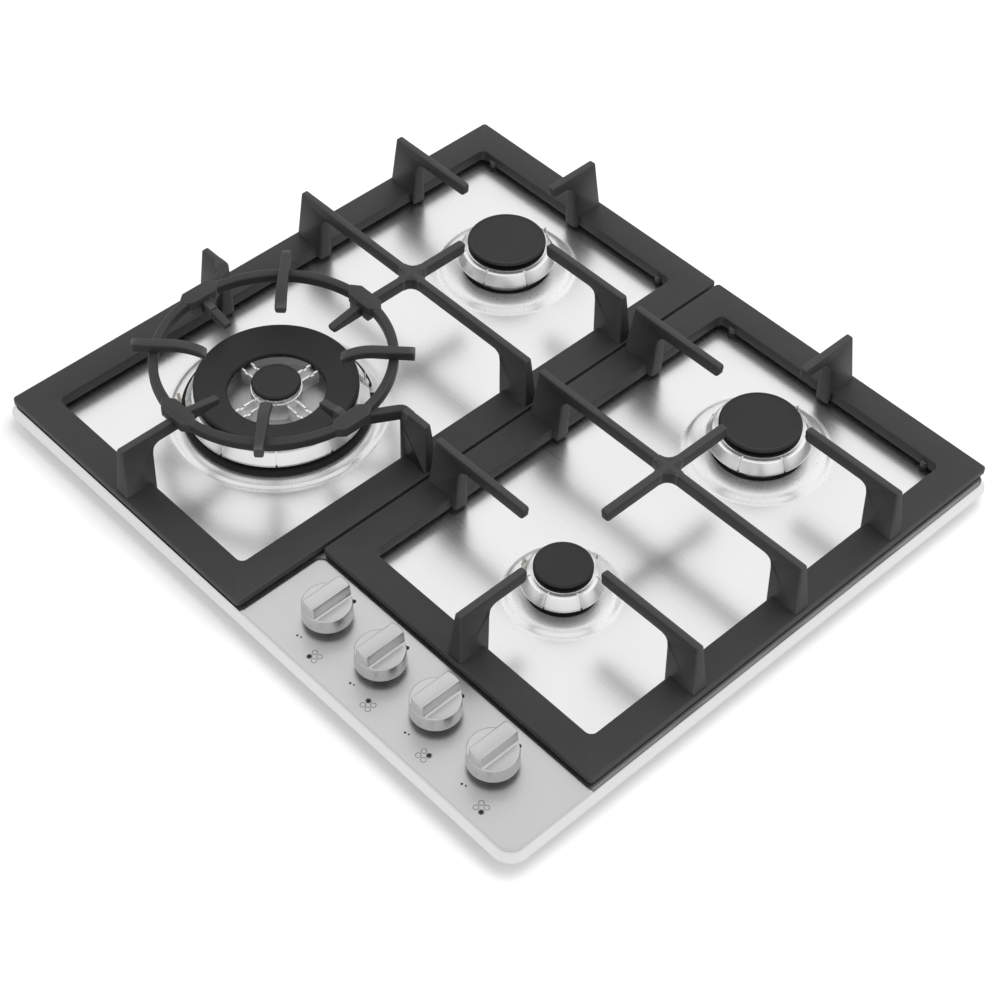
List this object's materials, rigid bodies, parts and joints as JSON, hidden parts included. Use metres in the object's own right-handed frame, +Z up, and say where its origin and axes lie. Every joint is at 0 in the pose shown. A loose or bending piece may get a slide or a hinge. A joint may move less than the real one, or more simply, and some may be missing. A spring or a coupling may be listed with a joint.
{
  "type": "gas cooktop",
  "caption": "Built-in stainless steel gas cooktop with cast iron pan supports, a wok ring over the front left burner and round knobs at the front right.",
  "frame": {"origin": "centre of the tray in plan, underside of the burner box", "axes": "+X to the right of a person at the front, +Y to the back, +Z up"},
  "size_m": [0.58, 0.51, 0.1145],
  "materials": {
    "tray_steel": "satin brushed stainless steel",
    "galvanised_sheet": "dull galvanised sheet",
    "seal_foam": "matt foam rubber",
    "brass": "turned brass",
    "ceramic": "unglazed white ceramic",
    "copper_alloy": "drawn copper alloy",
    "zinc_steel": "zinc plated tube",
    "black_rubber": "matt silicone rubber",
    "white_plastic": "moulded heat-resistant plastic",
    "dark_plastic": "moulded heat-resistant plastic",
    "screw_steel": "zinc plated steel",
    "spring_steel": "drawn spring wire",
    "grate_iron": "matt black enamel over a fine casting grain",
    "cap_enamel": "matt black enamel on pressed steel",
    "cast_aluminium": "as cast",
    "polished_aluminium": "polished skirt, as cast inside",
    "pipe_aluminium": "drawn tube",
    "knob_metal": "brushed metal with bright chamfers"
  },
  "bodies": {
    "hob": {"top_plate": "tray_steel", "bottom_box": "galvanised_sheet", "worktop_seal": "seal_foam", "cup_rear_left": "cast_aluminium", "cup_rear_right": "cast_aluminium", "cup_front_right": "cast_aluminium", "cup_wok": "cast_aluminium", "injectors": "brass", "igniters": "ceramic", "thermocouples": "copper_alloy", "gas_rail": "zinc_steel", "gas_inlet": "brass", "tap_wok": "cast_aluminium", "tap_rear_left": "cast_aluminium", "tap_rear_right": "cast_aluminium", "tap_front_right": "cast_aluminium", "spring_wok": "spring_steel", "spring_rear_left": "spring_steel", "spring_rear_right": "spring_steel", "spring_front_right": "spring_steel", "knob_seals": "black_rubber", "pipe_rear_left": "pipe_aluminium", "pipe_rear_right": "pipe_aluminium", "pipe_front_right": "pipe_aluminium", "pipe_wok": "pipe_aluminium", "pipe_nuts": "brass", "spark_generator": "white_plastic", "spark_switches": "dark_plastic", "terminal_block": "white_plastic", "cable_gland": "dark_plastic", "mounting_clamps": "galvanised_sheet", "clamp_screws": "screw_steel", "box_screws": "screw_steel", "cup_screws": "screw_steel"},
    "plug_wok_body": {"plug_wok": "brass"},
    "knob_wok_body": {"spindle_wok": "screw_steel", "knob_wok": "knob_metal"},
    "plug_rear_left_body": {"plug_rear_left": "brass"},
    "knob_rear_left_body": {"spindle_rear_left": "screw_steel", "knob_rear_left": "knob_metal"},
    "plug_rear_right_body": {"plug_rear_right": "brass"},
    "knob_rear_right_body": {"spindle_rear_right": "screw_steel", "knob_rear_right": "knob_metal"},
    "plug_front_right_body": {"plug_front_right": "brass"},
    "knob_front_right_body": {"spindle_front_right": "screw_steel", "knob_front_right": "knob_metal"},
    "left_grate_body": {"left_grate": "grate_iron", "left_grate_feet": "black_rubber"},
    "right_grate_body": {"right_grate": "grate_iron", "right_grate_feet": "black_rubber"},
    "wok_stand_body": {"wok_stand": "grate_iron"},
    "spreader_rear_left_body": {"spreader_rear_left": "polished_aluminium"},
    "cap_rear_left_body": {"cap_rear_left": "cap_enamel"},
    "spreader_rear_right_body": {"spreader_rear_right": "polished_aluminium"},
    "cap_rear_right_body": {"cap_rear_right": "cap_enamel"},
    "spreader_front_right_body": {"spreader_front_right": "polished_aluminium"},
    "cap_front_right_body": {"cap_front_right": "cap_enamel"},
    "spreader_wok_body": {"spreader_wok": "polished_aluminium"},
    "cap_wok_ring_body": {"cap_wok_ring": "cap_enamel"},
    "cap_wok_centre_body": {"cap_wok_centre": "cap_enamel"}
  },
  "joints": [
    {"name": "wok_knob_turn", "type": "hinge", "parent": "hob", "child": "plug_wok_body", "pos_m": [0.05, -0.2085, 0.042], "axis": [0, 0, 1], "range_deg": [0, 210]},
    {"name": "wok_knob_push", "type": "slide", "parent": "plug_wok_body", "child": "knob_wok_body", "axis": [0, 0, -1], "range_m": [0, 0.0035], "stiffness_N_per_m": 500, "springref_m": -0.008, "deforming": ["spring_wok"]},
    {"name": "rear_left_knob_turn", "type": "hinge", "parent": "hob", "child": "plug_rear_left_body", "pos_m": [0.108, -0.2085, 0.042], "axis": [0, 0, 1], "range_deg": [0, 210]},
    {"name": "rear_left_knob_push", "type": "slide", "parent": "plug_rear_left_body", "child": "knob_rear_left_body", "axis": [0, 0, -1], "range_m": [0, 0.0035], "stiffness_N_per_m": 500, "springref_m": -0.008, "deforming": ["spring_rear_left"]},
    {"name": "rear_right_knob_turn", "type": "hinge", "parent": "hob", "child": "plug_rear_right_body", "pos_m": [0.166, -0.2085, 0.042], "axis": [0, 0, 1], "range_deg": [0, 210]},
    {"name": "rear_right_knob_push", "type": "slide", "parent": "plug_rear_right_body", "child": "knob_rear_right_body", "axis": [0, 0, -1], "range_m": [0, 0.0035], "stiffness_N_per_m": 500, "springref_m": -0.008, "deforming": ["spring_rear_right"]},
    {"name": "front_right_knob_turn", "type": "hinge", "parent": "hob", "child": "plug_front_right_body", "pos_m": [0.224, -0.2085, 0.042], "axis": [0, 0, 1], "range_deg": [0, 210]},
    {"name": "front_right_knob_push", "type": "slide", "parent": "plug_front_right_body", "child": "knob_front_right_body", "axis": [0, 0, -1], "range_m": [0, 0.0035], "stiffness_N_per_m": 500, "springref_m": -0.008, "deforming": ["spring_front_right"]},
    {"name": "left_grate_lift", "type": "slide", "parent": "hob", "child": "left_grate_body", "axis": [0, 0, 1], "range_m": [0, 0.1]},
    {"name": "right_grate_lift", "type": "slide", "parent": "hob", "child": "right_grate_body", "axis": [0, 0, 1], "range_m": [0, 0.1]},
    {"name": "wok_stand_lift", "type": "slide", "parent": "left_grate_body", "child": "wok_stand_body", "axis": [0, 0, 1], "range_m": [0, 0.06]},
    {"name": "spreader_rear_left_lift", "type": "slide", "parent": "hob", "child": "spreader_rear_left_body", "axis": [0, 0, 1], "range_m": [0, 0.06]},
    {"name": "cap_rear_left_lift", "type": "slide", "parent": "spreader_rear_left_body", "child": "cap_rear_left_body", "axis": [0, 0, 1], "range_m": [0, 0.04]},
    {"name": "spreader_rear_right_lift", "type": "slide", "parent": "hob", "child": "spreader_rear_right_body", "axis": [0, 0, 1], "range_m": [0, 0.06]},
    {"name": "cap_rear_right_lift", "type": "slide", "parent": "spreader_rear_right_body", "child": "cap_rear_right_body", "axis": [0, 0, 1], "range_m": [0, 0.04]},
    {"name": "spreader_front_right_lift", "type": "slide", "parent": "hob", "child": "spreader_front_right_body", "axis": [0, 0, 1], "range_m": [0, 0.06]},
    {"name": "cap_front_right_lift", "type": "slide", "parent": "spreader_front_right_body", "child": "cap_front_right_body", "axis": [0, 0, 1], "range_m": [0, 0.04]},
    {"name": "spreader_wok_lift", "type": "slide", "parent": "hob", "child": "spreader_wok_body", "axis": [0, 0, 1], "range_m": [0, 0.007]},
    {"name": "cap_wok_ring_lift", "type": "slide", "parent": "spreader_wok_body", "child": "cap_wok_ring_body", "axis": [0, 0, 1], "range_m": [0, 0.007]},
    {"name": "cap_wok_centre_lift", "type": "slide", "parent": "spreader_wok_body", "child": "cap_wok_centre_body", "axis": [0, 0, 1], "range_m": [0, 0.04]}
  ]
}
